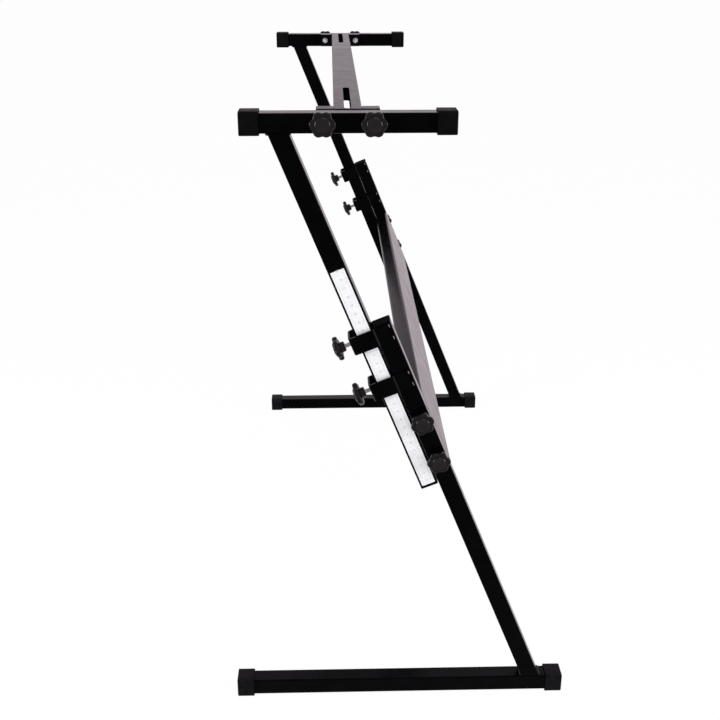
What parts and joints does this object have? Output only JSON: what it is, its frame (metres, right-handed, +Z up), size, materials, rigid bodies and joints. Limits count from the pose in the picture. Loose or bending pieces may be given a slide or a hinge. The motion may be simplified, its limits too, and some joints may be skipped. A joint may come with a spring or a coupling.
{
  "type": "keyboard stand",
  "caption": "Height-adjustable keyboard stand: two Z-shaped square-tube side frames, sliding posts in strap collars with star knobs, and two crossbars.",
  "frame": {"origin": "on the floor, at the middle of the four feet", "axes": "+X from the rear to the player's side, +Y from the left to the right side frame, +Z up"},
  "size_m": [0.4926, 1.0974, 0.8765],
  "materials": {
    "black_steel": "semi-gloss black powder coat",
    "cap_rubber": "dull black rubber",
    "plug_plastic": "satin black plastic",
    "knob_plastic": "fine-grained charcoal plastic",
    "zinc_steel": "bright zinc plate",
    "scale_label": "satin white film with grey marks"
  },
  "bodies": {
    "lower_frame": {"lower_crossbar": "black_steel", "collar_nuts": "zinc_steel", "beam_nuts": "zinc_steel", "base_tube_left": "black_steel", "lower_post_left": "black_steel", "lower_end_plate_left": "black_steel", "lower_post_plug_left": "plug_plastic", "clamp_collar_left_upper": "black_steel", "clamp_collar_left_lower": "black_steel", "base_cap_left_front": "cap_rubber", "base_cap_left_rear": "cap_rubber", "base_tube_right": "black_steel", "lower_post_right": "black_steel", "lower_end_plate_right": "black_steel", "lower_post_plug_right": "plug_plastic", "clamp_collar_right_upper": "black_steel", "clamp_collar_right_lower": "black_steel", "base_cap_right_front": "cap_rubber", "base_cap_right_rear": "cap_rubber"},
    "upper_frame": {"upper_crossbar": "black_steel", "bracket_nuts": "zinc_steel", "arm_tube_left": "black_steel", "upper_post_left": "black_steel", "upper_bracket_left": "black_steel", "upper_post_plug_left": "plug_plastic", "height_scale_left": "scale_label", "arm_cap_left_front": "cap_rubber", "arm_cap_left_rear": "cap_rubber", "arm_tube_right": "black_steel", "upper_post_right": "black_steel", "upper_bracket_right": "black_steel", "upper_post_plug_right": "plug_plastic", "height_scale_right": "scale_label", "arm_cap_right_front": "cap_rubber", "arm_cap_right_rear": "cap_rubber"},
    "arm_knob_left_front": {"arm_knob_left_front": "knob_plastic", "arm_stud_left_front": "zinc_steel"},
    "arm_knob_right_front": {"arm_knob_right_front": "knob_plastic", "arm_stud_right_front": "zinc_steel"},
    "arm_knob_left_rear": {"arm_knob_left_rear": "knob_plastic", "arm_stud_left_rear": "zinc_steel"},
    "arm_knob_right_rear": {"arm_knob_right_rear": "knob_plastic", "arm_stud_right_rear": "zinc_steel"},
    "post_knob_left_upper": {"post_knob_left_upper": "knob_plastic", "post_stud_left_upper": "zinc_steel"},
    "post_knob_right_upper": {"post_knob_right_upper": "knob_plastic", "post_stud_right_upper": "zinc_steel"},
    "post_knob_left_lower": {"post_knob_left_lower": "knob_plastic", "post_stud_left_lower": "zinc_steel"},
    "post_knob_right_lower": {"post_knob_right_lower": "knob_plastic", "post_stud_right_lower": "zinc_steel"},
    "clamp_knob_left_upper": {"clamp_knob_left_upper": "knob_plastic", "clamp_stud_left_upper": "zinc_steel"},
    "clamp_knob_right_upper": {"clamp_knob_right_upper": "knob_plastic", "clamp_stud_right_upper": "zinc_steel"},
    "clamp_knob_left_lower": {"clamp_knob_left_lower": "knob_plastic", "clamp_stud_left_lower": "zinc_steel"},
    "clamp_knob_right_lower": {"clamp_knob_right_lower": "knob_plastic", "clamp_stud_right_lower": "zinc_steel"}
  },
  "joints": [
    {"name": "height", "type": "slide", "parent": "lower_frame", "child": "upper_frame", "axis": [-0.3746, 0, 0.9272], "range_m": [-0.23, 0.12]},
    {"name": "arm_knob_left_front_turn", "type": "hinge", "parent": "upper_frame", "child": "arm_knob_left_front", "pos_m": [-0.04353, -0.5332, 0.86119], "axis": [0, -1, 0], "range_deg": [0, 1080]},
    {"name": "arm_knob_right_front_turn", "type": "hinge", "parent": "upper_frame", "child": "arm_knob_right_front", "pos_m": [-0.04353, 0.5332, 0.86119], "axis": [0, 1, 0], "range_deg": [0, 1080]},
    {"name": "arm_knob_left_rear_turn", "type": "hinge", "parent": "upper_frame", "child": "arm_knob_left_rear", "pos_m": [-0.10703, -0.5332, 0.86119], "axis": [0, -1, 0], "range_deg": [0, 1080]},
    {"name": "arm_knob_right_rear_turn", "type": "hinge", "parent": "upper_frame", "child": "arm_knob_right_rear", "pos_m": [-0.10703, 0.5332, 0.86119], "axis": [0, 1, 0], "range_deg": [0, 1080]},
    {"name": "post_knob_left_upper_turn", "type": "hinge", "parent": "lower_frame", "child": "post_knob_left_upper", "pos_m": [0.02393, -0.5332, 0.45786], "axis": [0, -1, 0], "range_deg": [0, 1080]},
    {"name": "post_knob_right_upper_turn", "type": "hinge", "parent": "lower_frame", "child": "post_knob_right_upper", "pos_m": [0.02393, 0.5332, 0.45786], "axis": [0, 1, 0], "range_deg": [0, 1080]},
    {"name": "post_knob_left_lower_turn", "type": "hinge", "parent": "lower_frame", "child": "post_knob_left_lower", "pos_m": [0.04772, -0.5332, 0.39898], "axis": [0, -1, 0], "range_deg": [0, 1080]},
    {"name": "post_knob_right_lower_turn", "type": "hinge", "parent": "lower_frame", "child": "post_knob_right_lower", "pos_m": [0.04772, 0.5332, 0.39898], "axis": [0, 1, 0], "range_deg": [0, 1080]},
    {"name": "clamp_knob_left_upper_turn", "type": "hinge", "parent": "lower_frame", "child": "clamp_knob_left_upper", "pos_m": [-0.08076, -0.5205, 0.56402], "axis": [-0.9272, 0, -0.3746], "range_deg": [0, 1080]},
    {"name": "clamp_knob_right_upper_turn", "type": "hinge", "parent": "lower_frame", "child": "clamp_knob_right_upper", "pos_m": [-0.08076, 0.5205, 0.56402], "axis": [-0.9272, 0, -0.3746], "range_deg": [0, 1080]},
    {"name": "clamp_knob_left_lower_turn", "type": "hinge", "parent": "lower_frame", "child": "clamp_knob_left_lower", "pos_m": [-0.05379, -0.5205, 0.49726], "axis": [-0.9272, 0, -0.3746], "range_deg": [0, 1080]},
    {"name": "clamp_knob_right_lower_turn", "type": "hinge", "parent": "lower_frame", "child": "clamp_knob_right_lower", "pos_m": [-0.05379, 0.5205, 0.49726], "axis": [-0.9272, 0, -0.3746], "range_deg": [0, 1080]}
  ]
}
